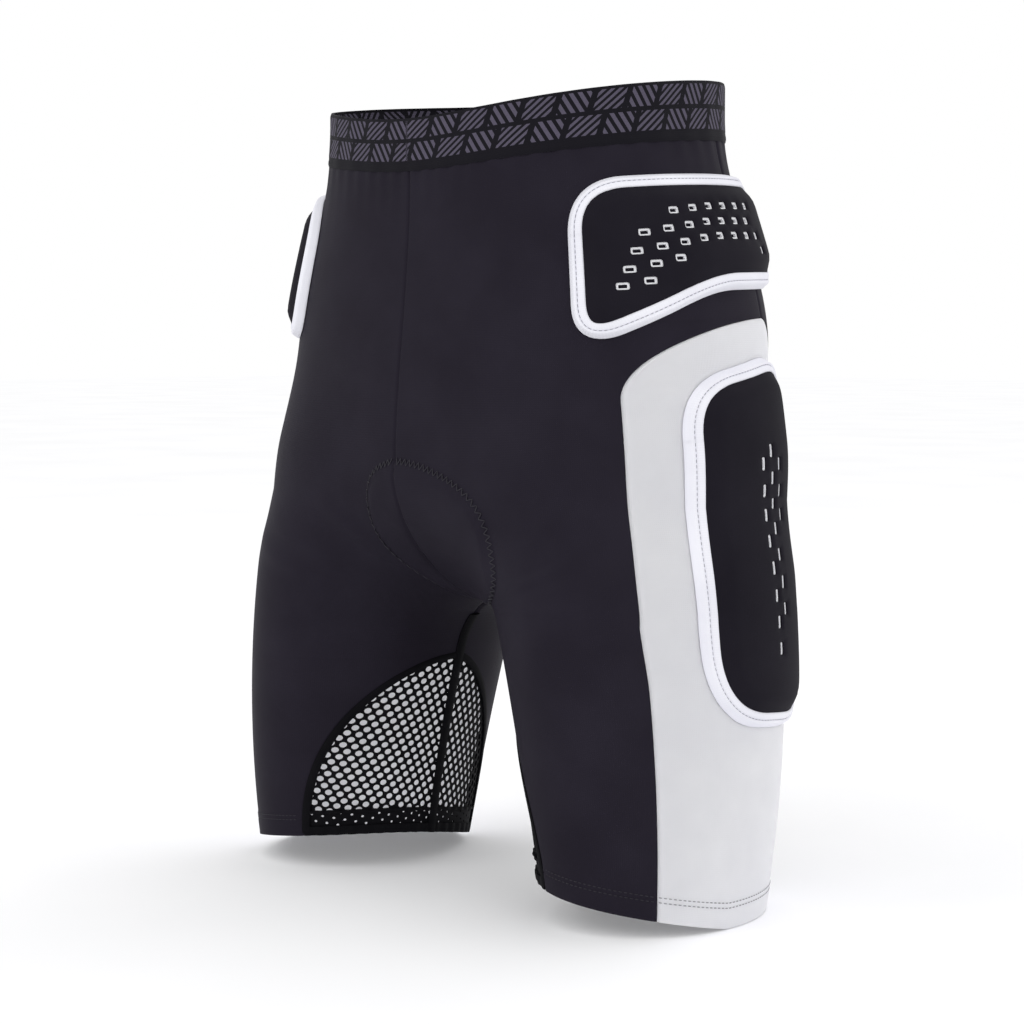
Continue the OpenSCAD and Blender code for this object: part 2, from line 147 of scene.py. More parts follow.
def points_at(line, at):
    """Points of the line at the given distances along it."""
    s = run_length(line)
    return np.stack([np.interp(at, s, column) for column in line.T], -1)


# ---- the skin: a field that is 0 on the surface and below 0 inside ----
def torso_field(x, y, z):
    up = ease((z - HIP_Z) / (WAIST_Z - HIP_Z))
    down = ease((SEAT_Z - z) / (SEAT_Z - CROTCH))
    a = mix(HIP_A, WAIST_A, up) - (HIP_A - SEAT_A) * down
    back = mix(HIP_B, WAIST_B, up) - (HIP_B - SEAT_B) * down
    front = mix(HIP_F, WAIST_F, ease((z - BELLY_Z) / BELLY_SPAN))
    plan = (x / a) ** SQUARE + (np.abs(y) / np.where(y < 0, front, back)) ** SQUARE
    drop = np.maximum(0, ROUND_Z - z) / (ROUND_Z - CROTCH)
    return TORSO_UNIT * (np.sqrt(plan ** (2 / SQUARE) + drop ** 2) - 1)


def leg_axis(z):
    k = np.clip(z / LEG_TOP, 0, 1)
    return mix(HEM_X, TOP_X, k * k), mix(HEM_Y, TOP_Y, k), k


def leg_field(x, y, z):
    ax, ay, k = leg_axis(z)
    across = (x - ax) / mix(HEM_P, TOP_P, k)
    along = (y - ay) / mix(HEM_Q, TOP_Q, 1 - (1 - k) ** 2)
    rise = np.maximum(0, z - LEG_CAP_FROM * LEG_TOP) / LEG_CAP
    return LEG_UNIT * (np.sqrt(across ** 2 + along ** 2 + rise ** 2) - 1)


def field(q):
    x, y, z = np.abs(q[..., 0]), q[..., 1], q[..., 2]
    a, b = torso_field(x, y, z), leg_field(x, y, z)
    h = np.maximum(SOFT - np.abs(a - b), 0) / SOFT
    return np.minimum(a, b) - h * h * SOFT / 4


def normal(q):
    axes = np.eye(3) * STEP
    return unit(np.stack([field(q + e) - field(q - e) for e in axes], -1))


def hit(o, d):
    """Where a ray from inside meets the skin; it stops at the middle plane."""
    o, d = np.broadcast_arrays(np.asarray(o, float), unit(np.asarray(d, float)))
    inward = (d[..., 0] < -1e-9) & (o[..., 0] > 1e-6)
    steps = np.where(inward, d[..., 0], -1.0)
    high = np.where(inward, np.minimum(-o[..., 0] / steps, REACH), REACH)
    low = np.zeros(high.shape)
    for _ in range(HALVINGS):
        m = (low + high) / 2
        inside = field(o + d * m[..., None]) < 0
        low, high = np.where(inside, m, low), np.where(inside, high, m)
    return o + d * ((low + high) / 2)[..., None]


def hem_tilt(turn):
    rise = (HEM_RISE + HEM_FLAT) * (0.5 + 0.5 * np.cos(np.radians(turn + HEM_PEAK)))
    return np.maximum(0, rise - HEM_FLAT)


def waist_tilt(turn):
    a = np.radians(turn)
    return SIDE_RISE * np.cos(a) ** 2 - FRONT_DROP * (0.5 - 0.5 * np.sin(a))


def skin(t, s):
    """Point of the left half: t runs from the front middle (0) past the side (0.5) to the
    back middle (1), and s is the height at the side."""
    t, s = np.broadcast_arrays(np.asarray(t, float), np.asarray(s, float))
    bottom = hit([0, 0, PIVOT], [0, 0, -1.0])
    w = ease((s - CROTCH + FORK) / FORK)
    up = np.clip((s - CROTCH) / (PIVOT - CROTCH), 0, 1)
    ax, ay, _ = leg_axis(np.minimum(s, CROTCH))
    ox, oy = mix(ax, 0, ease(up)), mix(ay, 0, ease(up))
    oz = np.where(s < CROTCH, s + LIFT * w, mix(s + LIFT, np.maximum(s, PIVOT), up))
    a = np.radians(90 * up)
    inseam = vec(0, mix(ay, 0, w), mix(s, bottom[2], w))
    start = vec(0, 0, PIVOT + 0 * s)
    ends = []
    for sign in (-1, 1):
        fork = hit(start, vec(0, sign * np.sin(a), -np.cos(a)))
        edge = np.where((s < CROTCH)[..., None], inseam, fork)
        edge = np.where((s >= PIVOT)[..., None], vec(0, sign * MIDDLE_RUN, s), edge)
        turn = np.degrees(np.arctan2(edge[..., 1] - oy, edge[..., 0] - ox))
        turn = np.where(turn * sign < 0, turn + sign * 360, turn)
        ends.append((edge, turn))
    front = t < 0.5
    k = np.abs(2 * t - 1)
    turn = np.where(front, ends[0][1], ends[1][1]) * k
    b = np.where(front[..., None], ends[0][0], ends[1][0])
    wz = ease((k - LEVEL) / (1 - LEVEL))
    r = mix(np.hypot(b[..., 0] - ox, b[..., 1] - oy), SIDE_RUN, ease(2 - 2 * k))
    tilt = hem_tilt(turn) * np.clip(1 - s / CROTCH, 0, 1)
    tilt = tilt + waist_tilt(turn) * np.clip((s - PIVOT) / (HEIGHT - PIVOT), 0, 1)
    z, zo = mix(s, b[..., 2], wz) + tilt, mix(s, oz, wz) + tilt
    ray = np.radians(turn)
    return hit(vec(ox, oy, zo), vec(r * np.cos(ray), r * np.sin(ray), z - zo))


def outward(p, d):
    """p moved out by d along its normal; the hem's edge is cut level."""
    n = normal(p)
    n[..., 2] *= np.clip(p[..., 2] / HEM_SQUARE, 0, 1)
    return p + np.asarray(d, float)[..., None] * unit(n)


def outward_both(p, d):
    """outward() for points on either side of the middle."""
    flip = np.where(p[..., :1] < 0, -1, 1) * np.array([1, 0, 0]) + np.array([0, 1, 1])
    return outward(p * flip, d) * flip


def around(w, s, girth):
    """Skin point w millimetres from the front middle or inseam, behind it if w < 0."""
    return skin(np.where(w >= 0, w / girth, 1 + w / girth), s)


# Middle of the depth, from the tailbone pad to the belly
DEPTH_MID = (HIP_B + 2 * GAP + FOAM_H + COVER_H + float(skin(0.0, BELLY_ROW)[1])) / 2


def place(p):
    """Millimetres to metres, with the middle of the depth at 0."""
    return (p - np.array([0, DEPTH_MID, 0])) / 1000


# ---- flat shapes: polygons, distances and triangulation in a chart ----
def outline(corners, arc=14, run=12):
    """Loop of points through the corners, each rounded by a parabola."""
    points = []
    n = len(corners)
    for i in range(n):
        here = np.array(corners[i][:2], float)
        size = corners[i][2]
        nxt = np.array(corners[(i + 1) % n], float)
        back = unit(np.array(corners[i - 1][:2], float) - here)
        on = unit(nxt[:2] - here)
        points += [here + back * size * (1 - q) ** 2 + on * size * q * q
                   for q in np.linspace(0, 1, arc + 1)]
        last = nxt[:2] - on * nxt[2]
        points += [mix(here + on * size, last, k / run) for k in range(1, run)]
    return np.array(points)


def edge_distance(points, loop, closed=True):
    """Distance of each point from a line of segments, and how far along it that is."""
    a = loop
    b = np.roll(loop, -1, 0)
    if not closed:
        a, b = loop[:-1], loop[1:]
    size = np.linalg.norm(b - a, axis=1)
    d = (b - a) / size[:, None]
    starts = np.concatenate([[0], np.cumsum(size)[:-1]])
    best = np.full(len(points), 1e9)
    along = np.zeros(len(points))
    for ai, di, li, si in zip(a, d, size, starts):
        k = np.clip((points - ai) @ di, 0, li)
        gap = np.linalg.norm(points - ai - k[:, None] * di, axis=1)
        near = gap < best
        best, along = np.where(near, gap, best), np.where(near, si + k, along)
    return best, along


def inside(points, loop):
    """Whether each point lies in the loop, by counting crossings."""
    x, y = points[:, 0], points[:, 1]
    odd = np.zeros(len(points), bool)
    for (ax, ay), (bx, by) in zip(loop, np.roll(loop, -1, 0)):
        if ay == by:
            continue
        cross = ((ay > y) != (by > y)) & (x < (bx - ax) * (y - ay) / (by - ay) + ax)
        odd ^= cross
    return odd


def slot_loop(c, width, height, grow=0.0, points=3):
    """Loop of a slot about c, with rounded corners and made larger by grow all round."""
    a, b = width / 2 + grow, height / 2 + grow
    r = min(a, b) * 0.45
    out = []
    for sx, sy, start in ((1, 1, 0), (-1, 1, 90), (-1, -1, 180), (1, -1, 270)):
        for k in range(points + 1):
            q = math.radians(start + 90 * k / points)
            out.append((c[0] + sx * (a - r) + r * math.cos(q),
                        c[1] + sy * (b - r) + r * math.sin(q)))
    return np.array(out)


def fill(edge, holes=(), guides=(), pitch=3.2):
    """Triangles inside edge and outside the holes, with guide loops kept as edges."""
    low, high = edge.min(0), edge.max(0)
    gx, gy = np.meshgrid(np.arange(low[0], high[0], pitch), np.arange(low[1], high[1], pitch))
    grid = np.stack([gx.ravel(), gy.ravel()], 1)
    keep = inside(grid, edge) & (edge_distance(grid, edge)[0] > pitch * 0.5)
    for loop in [*holes, *guides]:
        keep &= ~inside(grid, loop) & (edge_distance(grid, loop)[0] > pitch * 0.35)
    verts, edges = [], []
    for loop in [edge, *holes, *guides]:
        n, base = len(loop), len(verts)
        verts += [Vector(p) for p in loop.tolist()]
        edges += [(base + i, base + (i + 1) % n) for i in range(n)]
    verts += [Vector(p) for p in grid[keep].tolist()]
    out = delaunay_2d_cdt(verts, edges, [], 0, 1e-5)
    points = np.array([tuple(v) for v in out[0]])
    tris = np.array(out[2])
    mid = points[tris].mean(1)
    ok = inside(mid, edge)
    for loop in holes:
        ok &= ~inside(mid, loop)
    tris = tris[ok]
    p = points[tris]
    u, v = p[:, 1] - p[:, 0], p[:, 2] - p[:, 0]
    turn = u[:, 0] * v[:, 1] - u[:, 1] * v[:, 0] < 0
    tris[turn] = tris[turn][:, ::-1]
    used, index = np.unique(tris, return_inverse=True)
    return points[used], index.reshape(-1, 3)


# ---- meshes ----
def new_object(name, data):
    obj = bpy.data.objects.new(name, data)
    bpy.context.scene.collection.objects.link(obj)
    return obj


def grid_faces(rows, cols, wrap=False):
    j, i = np.meshgrid(np.arange(rows - 1), np.arange(cols if wrap else cols - 1),
                       indexing="ij")
    a, b = j * cols + i, j * cols + (i + 1) % cols
    return np.stack([a, b, b + cols, a + cols], -1).reshape(-1, 4)


def closed(top, bottom, faces):
    """Vertices and faces of the solid between two layers of the same points."""
    n = len(top)
    k = faces.shape[1]
    pairs = np.concatenate([faces[:, [i, (i + 1) % k]] for i in range(k)])
    known = {(a, b) for a, b in pairs.tolist()}
    walls = [[b, a, a + n, b + n] for a, b in pairs.tolist() if (b, a) not in known]
    layers = faces.tolist() + (faces[:, ::-1] + n).tolist()
    return np.concatenate([top, bottom]), layers + walls


def build(name, verts, faces, finish, side="left", uv=None, stands_for=(), sharp=50,
          slot=None):
    """A named piece on the root body, mirrored if it is on the wearer's right. Its slot has
    the material's name, to which Blender adds a number after a dot. slot is not used."""
    v = place(verts)
    v[:, 0] *= SIDES[side]
    if side == "right":
        faces = [f[::-1] for f in faces]
    mesh = bpy.data.meshes.new(name)
    mesh.from_pydata(v.tolist(), [], faces)
    mesh.update()
    mesh.shade_smooth()
    mesh.set_sharp_from_angle(angle=math.radians(sharp))
    if uv is not None:
        loops = np.zeros(len(mesh.loops), int)
        mesh.loops.foreach_get("vertex_index", loops)
        layer = mesh.uv_layers.new(name="cloth")
        layer.data.foreach_set("uv", (np.asarray(uv)[loops] / 1000).astype(np.float32).ravel())
    mesh.materials.append(finish)
    obj = new_object(name, mesh)
    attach(obj, "root")
    if stands_for:
        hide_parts(*stands_for)
    return obj


def layered(name, top, bottom, faces, finish, uv=None, **more):
    """A piece made of two layers of the same points and the walls between them."""
    verts, polys = closed(top, bottom, faces)
    if uv is not None:
        uv = np.concatenate([uv, uv])
    return build(name, verts, polys, finish, uv=uv, **more)


def cut_size(grid):
    """Width, length and area of a grid of surface points laid out flat, in metres."""
    across = np.linalg.norm(np.diff(grid, axis=1), axis=-1).sum(1).max()
    down = np.linalg.norm(np.diff(grid, axis=0), axis=-1).sum(0).max()
    a, b = grid[1:, 1:] - grid[:-1, :-1], grid[1:, :-1] - grid[:-1, 1:]
    area = np.linalg.norm(np.cross(a, b), axis=-1).sum() / 2
    return across / 1000, down / 1000, area / 1e6


SHEETS = []


def declare(obj, size, parts=()):
    """Notes obj's name, width, length and area as a row of SHEETS, printed at the end."""
    width, length, area = size
    area = min(area, width * length)
    SHEETS.append((obj.name, round(width, 3), round(length, 3), round(area, 4)))


# Rings of a stitch: share of its length and share of its radius
STITCH_RINGS = ((0, 0.45), (0.2, 1), (0.8, 1), (1, 0.45))
# A direction that no stitch runs along
OFF_AXIS = [0.31, 0.17, 0.94]


def capsules(name, pairs, radius, finish, side="left", slot=None, ring=6):
    """Stitches, each a small rod with thinner ends between a pair of points."""
    verts, faces = [], []
    angles = np.linspace(0, 2 * math.pi, ring, endpoint=False)
    for a, b in pairs:
        across = unit(np.cross(unit(b - a), OFF_AXIS))
        up = np.cross(unit(b - a), across)
        base = len(verts)
        for share, size in STITCH_RINGS:
            verts += [mix(a, b, share) + radius * size * (math.cos(q) * across + math.sin(q) * up)
                      for q in angles]
        last = len(verts) - ring
        for low in range(base, last, ring):
            faces += [[low + i, low + (i + 1) % ring, low + ring + (i + 1) % ring, low + ring + i]
                      for i in range(ring)]
        faces.append([base + i for i in reversed(range(ring))])
        faces.append([last + i for i in range(ring)])
    return build(name, np.array(verts), faces, finish, side=side, slot=slot)


def dashes(line, pitch, length):
    """Pairs of points along a line of points, one pair for each stitch."""
    starts = np.arange(0, run_length(line)[-1] - length, pitch)
    return list(zip(points_at(line, starts), points_at(line, starts + length)))


def flip_if_inside_out(obj):
    """Turns the faces round if the solid's volume comes out below 0."""
    mesh = obj.data
    p = np.zeros(len(mesh.vertices) * 3)
    mesh.vertices.foreach_get("co", p)
    p = p.reshape(-1, 3)
    mesh.calc_loop_triangles()
    tri = np.zeros(len(mesh.loop_triangles) * 3, int)
    mesh.loop_triangles.foreach_get("vertices", tri)
    a, b, c = (p[tri.reshape(-1, 3)[:, i]] for i in range(3))
    if (np.cross(a, b) * c).sum() < 0:
        mesh.flip_normals()


# ---- materials ----
class Nodes:
    """A material with a Principled shader, and short ways to add nodes to it."""

    def __init__(self, name):
        self.mat = bpy.data.materials.new(name)
        self.mat.use_nodes = True
        self.tree = self.mat.node_tree
        self.shader = self.tree.nodes["Principled BSDF"]

    def add(self, kind, **settings):
        node = self.tree.nodes.new(kind)
        for key, value in settings.items():
            setattr(node, key, value)
        return node

    def link(self, a, b):
        self.tree.links.new(a, b)

    def math(self, op, a, b=None, c=None):
        node = self.add("ShaderNodeMath", operation=op)
        for i, v in enumerate((a, b, c)):
            if v is None:
                continue
            if isinstance(v, (int, float)):
                node.inputs[i].default_value = v
            else:
                self.link(v, node.inputs[i])
        return node.outputs[0]

    def uv(self):
        parts = self.add("ShaderNodeSeparateXYZ")
        self.link(self.add("ShaderNodeUVMap", uv_map="cloth").outputs[0], parts.inputs[0])
        return parts.outputs[0], parts.outputs[1]

    def noise(self, scale, detail=3.0):
        node = self.add("ShaderNodeTexNoise")
        node.inputs["Scale"].default_value = scale
        node.inputs["Detail"].default_value = detail
        self.link(self.add("ShaderNodeTexCoord").outputs["Object"], node.inputs["Vector"])
        return node.outputs[0]

    def paint(self, value, low, high, start=0.3, end=0.7):
        """Base colour that goes from low to high with the value."""
        ramp = self.add("ShaderNodeValToRGB")
        ramp.color_ramp.elements[0].position = start
        ramp.color_ramp.elements[1].position = end
        ramp.color_ramp.elements[0].color = (*low, 1)
        ramp.color_ramp.elements[1].color = (*high, 1)
        self.link(value, ramp.inputs[0])
        self.link(ramp.outputs[0], self.shader.inputs["Base Color"])

    def bump(self, value, depth, strength=1.0):
        node = self.add("ShaderNodeBump")
        node.inputs["Strength"].default_value = strength
        node.inputs["Distance"].default_value = depth
        self.link(value, node.inputs["Height"])
        self.link(node.outputs[0], self.shader.inputs["Normal"])

    def set(self, **values):
        for key, value in values.items():
            self.shader.inputs[key.replace("_", " ")].default_value = value


def ribs(n, value, pitch):
    """Rounded ribs, 0 to 1, with that pitch in metres."""
    wave = n.math("SINE", n.math("MULTIPLY", value, 2 * math.pi / pitch))
    return n.math("MULTIPLY_ADD", wave, 0.5, 0.5)


def knit(name, low, high, rough, sheen, wale=0.0011, depth=0.00008, gloss=0.12, through=0.0):
    """Fine stretch knit: wales and courses, with slow variation in shade. through is how
    much light a thin pale cloth lets pass."""
    n = Nodes(name)
    u, v = n.uv()
    shifted = n.math("MULTIPLY_ADD", n.math("ABSOLUTE", ribs(n, u, wale)), wale / 2, v)
    weave = n.math("MULTIPLY", ribs(n, u, wale), ribs(n, shifted, wale))
    shade = n.math("ADD", n.math("MULTIPLY", n.noise(24.0), 0.8), n.math("MULTIPLY", weave, 0.2))
    n.paint(shade, low, high)
    n.bump(weave, depth, 0.5)
    n.set(Roughness=rough, Sheen_Weight=sheen, Sheen_Roughness=0.45, Specular_IOR_Level=gloss,
          Subsurface_Weight=through, Subsurface_Radius=(1, 1, 1), Subsurface_Scale=0.006)
    n.shader.inputs["Sheen Tint"].default_value = (0.80, 0.76, 0.95, 1)
    return n.mat


def foam(name, low, high):
    n = Nodes(name)
    grain = n.noise(1400.0, 4.0)
    n.paint(grain, low, high)
    n.bump(grain, 0.0003, 0.4)
    n.set(Roughness=0.85, Specular_IOR_Level=0.25)
    return n.mat


def thread(name, colour):
    n = Nodes(name)
    grain = n.noise(900.0, 2.0)
    n.paint(grain, tuple(0.8 * c for c in colour), colour)
    n.bump(grain, 0.0001, 0.5)
    n.set(Roughness=0.6, Specular_IOR_Level=0.3)
    return n.mat


def hatched(name, plain, bars):
    """Woven elastic: slanted blocks of short bars that change direction from block to
    block, above a plain strip."""
    block_w, block_h, bar, strip, slant = 0.021, 0.0148, 0.0052, 0.0055, 0.35
    bar_share, margin, bar_slope = 0.52, 0.09, 0.9
    n = Nodes(name)
    u, v = n.uv()
    up = n.math("SUBTRACT", v, strip)
    lean = n.math("MULTIPLY_ADD", up, -slant, u)
    row = n.math("DIVIDE", up, block_h)
    column = n.math("MULTIPLY_ADD", n.math("FLOOR", row), 0.5, n.math("DIVIDE", lean, block_w))
    block = n.math("ADD", n.math("FLOOR", row), n.math("FLOOR", column))
    way = n.math("MULTIPLY_ADD", n.math("FLOORED_MODULO", block, 2.0), -2.0, 1.0)
    across = n.math("MULTIPLY_ADD", n.math("MULTIPLY", way, bar_slope), up, lean)
    mask = n.math("LESS_THAN", n.math("FRACT", n.math("DIVIDE", across, bar)), bar_share)
    for value in (row, column):
        share = n.math("FRACT", value)
        mask = n.math("MULTIPLY", mask, n.math("GREATER_THAN", share, margin))
        mask = n.math("MULTIPLY", mask, n.math("LESS_THAN", share, 1 - margin))
    mask = n.math("MULTIPLY", mask, n.math("GREATER_THAN", up, 0.0))
    speckle = n.math("MULTIPLY_ADD", n.noise(1100.0, 2.0), 0.5, 0.7)
    n.paint(n.math("MULTIPLY", mask, speckle), plain, bars, 0.0, 1.0)
    weave = n.math("ADD", n.math("MULTIPLY", ribs(n, v, 0.0012), 0.5), mask)
    n.bump(weave, 0.00015, 0.6)
    n.set(Roughness=0.8, Sheen_Weight=0.02, Specular_IOR_Level=0.1)
    return n.mat


BLACK = knit("black_knit", (0.0135, 0.0112, 0.0180), (0.0185, 0.0158, 0.0245), 0.60, 0.0,
             gloss=0.05)
WHITE = knit("white_knit", (0.76, 0.76, 0.83), (0.85, 0.85, 0.92), 0.62, 0.05, through=0.9)
COVER = knit("pad_cover", (0.0090, 0.0078, 0.0122), (0.0128, 0.0112, 0.0168), 0.65, 0.0,
             gloss=0.05)
TAPE = knit("white_tape", (0.76, 0.76, 0.82), (0.86, 0.86, 0.91), 0.60, 0.10, 0.0014, 0.0001)
NETTING = knit("black_mesh", (0.0035, 0.0034, 0.0045), (0.0070, 0.0066, 0.0085), 0.7, 0.0,
               gloss=0.05)
SEAM = knit("seam_tape", (0.0035, 0.0034, 0.0045), (0.0065, 0.0062, 0.0080), 0.7, 0.0, 0.0013,
            gloss=0.05)
LINER = knit("seat_liner", (0.045, 0.045, 0.055), (0.07, 0.07, 0.08), 0.85, 0.3)
SATIN = knit("label_satin", (0.74, 0.74, 0.76), (0.80, 0.80, 0.82), 0.4, 0.05)
ELASTIC = hatched("waist_elastic", (0.0065, 0.0058, 0.0090), (0.088, 0.078, 0.112))
PAD_FOAM = foam("pad_foam", (0.80, 0.80, 0.84), (0.90, 0.90, 0.93))
SEAT_FOAM = foam("seat_foam", (0.08, 0.08, 0.10), (0.13, 0.13, 0.15))
GREY_THREAD = thread("grey_thread", (0.30, 0.30, 0.34))
DARK_THREAD = thread("dark_thread", (0.020, 0.018, 0.026))


# ---- relief of the cloth ----
# Edge of the pad as the cloth shows it on the wearer's right, where a fold covers the rest
SEAT_RIGHT = [(8, 272), (24, 268), (33, 260), (36, 249), (35, 236), (31, 224), (25, 215),
              (20, 204), (16, 186), (9, 168), (0, 150)]
SEAT_TIP = (0, 273)
# Over the seat pad: a step at its edge, a dome inside, a crease down the middle that fades
# out at its top, and the groove of the stitches. Each has its height, then its width
PAD_STEP, PAD_STEP_RUN = 3.6, 1.8
PAD_DOME, PAD_DOME_RUN = 2.4, 45.0
CREASE, CREASE_HALF, CREASE_TOP, CREASE_FADE = -2.6, 3.5, 262.0, 40.0
GROOVE, GROOVE_HALF, GROOVE_AT = -1.1, 1.1, 3.4
# Elsewhere: dip at a seam, gathers under the waistband, fold of the hem, dip at its stitches
SEAM_DIP, SEAM_HALF = -0.8, 1.3
GATHER, GATHER_PITCH, GATHER_FADE = 0.35, 17.0, 12.0
HEM_FOLD, HEM_FOLD_TOP, HEM_FOLD_RUN = 0.45, 17.0, 2.0
ROW_DIP, ROW_HALF = -0.35, 0.8


def rounded(line, times=3):
    """The line with its corners cut, again and again."""
    for _ in range(times):
        a, b = line[:-1], line[1:]
        cut = np.stack([mix(a, b, 0.25), mix(a, b, 0.75)], 1).reshape(-1, 2)
        line = np.concatenate([line[:1], cut, line[-1:]])
    return line


SEAT_HALVES = {
    "left": rounded(np.array([SEAT_TIP] + [(t * SEAT_GIRTH, s) for t, s, _ in SEAT_FRONT])),
    "right": rounded(np.array([SEAT_TIP] + SEAT_RIGHT)),
}
SEAT_LOOP = np.concatenate([SEAT_HALVES["left"], SEAT_HALVES["right"][-2:0:-1] * [-1, 1]])
# Soft folds: (from, to) in millimetres round and height, width and height of the fold
FOLDS = {
    "left": [((82, 194), (134, 214), 4.0, 1.9), ((80, 182), (132, 184), 4.0, 1.7),
             ((40, 300), (110, 330), 9.0, 0.5)],
    "right": [((26, 212), (78, 246), 6.0, 1.9), ((44, 204), (120, 226), 8.0, 1.3),
              ((60, 186), (150, 214), 7.0, 1.0),
              ((44, 150), (110, 138), 6.0, 0.8), ((30, 320), (120, 345), 10.0, 0.4)],
}


def seat_relief(u, s, side):
    """The seat pad shows through the cloth as a low step and a dome."""
    q = np.stack([u * SIDES[side], s], 1)
    d, _ = edge_distance(q, SEAT_LOOP)
    within = inside(q, SEAT_LOOP)
    dome = PAD_STEP * (1 - np.exp(-d / PAD_STEP_RUN)) + PAD_DOME * ease(d / PAD_DOME_RUN)
    crease = CREASE * bell(u, CREASE_HALF) * ease((CREASE_TOP - s) / CREASE_FADE)
    stitch = GROOVE * bell(d - GROOVE_AT, GROOVE_HALF)
    return np.where(within, dome + stitch + crease, 0)


def fold_relief(u, s, side):
    """Ridges with a hollow on both sides that fade out at their ends."""
    out = np.zeros(len(u))
    q = np.stack([u, s], 1)
    for start, end, width, amount in FOLDS[side]:
        line = np.array([start, end], float)
        d, along = edge_distance(q, line, closed=False)
        share = along / np.linalg.norm(line[1] - line[0])
        fade = np.sin(np.pi * np.clip(0.1 + 0.8 * share, 0, 1)) ** 1.2
        out += amount * fade * (bell(d, width) - 0.6 * bell(d, 1.9 * width))
    return out


def relief(t, s, side, from_edge):
    """Height of the cloth over the skin; from_edge is the distance from its seams."""
    u = t * SEAT_GIRTH
    out = seat_relief(u, s, side) + fold_relief(u, s, side)
    out += SEAM_DIP * bell(from_edge, SEAM_HALF)
    waves = np.sin(2 * np.pi * u / GATHER_PITCH)
    out += GATHER * waves * np.exp(-(HEIGHT - BAND - s) / GATHER_FADE)
    out += HEM_FOLD * ease((HEM_FOLD_TOP - s) / HEM_FOLD_RUN)
    out += ROW_DIP * sum(bell(s - row, ROW_HALF) for row in HEM_ROWS)
    return out


# ---- cloth panels ----
# How far, as t, and over what height the columns swerve in front and behind
SWERVE_FRONT, SWERVE_REAR, SWERVE_SPAN = -0.025, 0.031, 23.0


def steady(t, s):
    """Takes out the swerve of the columns near the crotch, so that seams run straight."""
    x = np.maximum(0, s - CROTCH) / SWERVE_SPAN
    amount = np.where(t < 0.5, SWERVE_FRONT, SWERVE_REAR)
    return t + np.abs(2 * t - 1) * amount * x * np.exp((1 - x * x) / 2)


def arch(s, edge):
    """Edge of the side panel, which bends over to the arch's tip at its top."""
    k = np.clip((s - ARCH_Z) / ARCH_H, 0, 1)
    return np.where(s < ARCH_Z, steady(edge, s), mix(edge, ARCH_T, 1 - np.sqrt(1 - k * k)))


def rear_edge(s):
    return mix(SIDE_REAR_LOW, SIDE_REAR, ease((s - SWEEP_LOW) / (SWEEP_HIGH - SWEEP_LOW)))


def mesh_edge_front(s):
    return MESH_FRONT * np.sqrt(np.clip(1 - (s / MESH_TOP) ** 2, 0, 1))


def mesh_edge_rear(s):
    return 1 - MESH_REAR * np.clip(1 - (s / MESH_TOP) ** 2, 0, 1) ** 0.75


# Heights of the rows of points, close together at the hem, at the net's tip and up the arch
ARCH_ROWS = ARCH_Z + ARCH_H * np.sin(np.radians(np.linspace(4, 88, 26)))
LOW_ROWS = np.concatenate([np.linspace(0, 20, 21), np.linspace(22, MESH_TOP - 4, 46),
                           np.linspace(MESH_TOP - 3, MESH_TOP, 6)])
MID_ROWS = np.linspace(MESH_TOP + 1.8, ARCH_Z, 94)
TOP_ROWS = np.linspace(ARCH_Z + ARCH_H + 1, HEIGHT - BAND + 1, 52)
FRONT_COLS, BACK_COLS, SIDE_COLS = 92, 72, 66


def spread(n):
    """Shares from 0 to 1, closer together at both ends."""
    q = np.linspace(0, 1, n)
    return mix(q, 0.5 - 0.5 * np.cos(np.pi * q), 0.7)


def cloth(part, rows, starts, ends, cols, finish, side):
    """A panel from starts to ends, which are values of t, one for each row."""
    share = spread(cols)
    t = mix(starts[:, None], ends[:, None], share[None, :])
    s = np.repeat(rows[:, None], cols, 1)
    wide = (ends - starts)[:, None] * GIRTH
    from_edge = np.minimum(share[None, :] * wide, (1 - share[None, :]) * wide)
    base = skin(t, s)
    lift = relief(t.ravel(), s.ravel(), side, from_edge.ravel())
    flat = base.reshape(-1, 3)
    top, low = outward(flat, lift), outward(flat, lift - CLOTH)
    uv = columns(t * GIRTH, s)
    obj = layered(f"{part}_cloth_{side}", top, low, grid_faces(*s.shape), finish, side=side,
                  uv=uv, stands_for=[f"{part}_panel_{side}"])
    declare(obj, cut_size(base))


def make_panels(side):
    short = np.concatenate([LOW_ROWS, MID_ROWS, ARCH_ROWS])
    body = np.concatenate([short, TOP_ROWS])
    cloth("front", body, mesh_edge_front(body), arch(body, SIDE_FRONT), FRONT_COLS, BLACK, side)
    cloth("back", body, arch(body, rear_edge(body)), mesh_edge_rear(body), BACK_COLS, BLACK, side)
    cloth("side", short, arch(short, SIDE_FRONT), arch(short, rear_edge(short)), SIDE_COLS, WHITE,
          side)


# ---- open netting of the inner thigh ----
# Steps from hole to hole along the net's grain, in millimetres round the leg and height
NET_A, NET_B = np.array([4.2, -3.6]), np.array([2.4, 5.2])
NET_COUNT = 60
# Radius of a hole in the net and in its folded hem, and the height of that hem
NET_HOLE = 2.15
HEM_HOLE = 0.9
HEM_BAND = 17.0
# The holes begin at NET_START, reach NET_LAP under the panels and NET_OVER above the tip,
# and keep NET_CLEAR off the inseam; no edge of the net is below NET_FLOOR
NET_START, NET_LAP, NET_OVER, NET_CLEAR, NET_FLOOR = 3.0, 3.0, 2.0, 1.0, 0.3
# The net lies this far under the skin, and level with it within NET_RISE of the inseam
NET_SINK, NET_RISE, NET_RISE_RUN = -0.9, 2.0, 3.0


def net_reach(s, front):
    """Millimetres from the inseam to the net's edge under the panel at height s."""
    share = float(mesh_edge_front(s)) if front else 1 - float(mesh_edge_rear(s))
    return share * GIRTH_LEG + NET_LAP


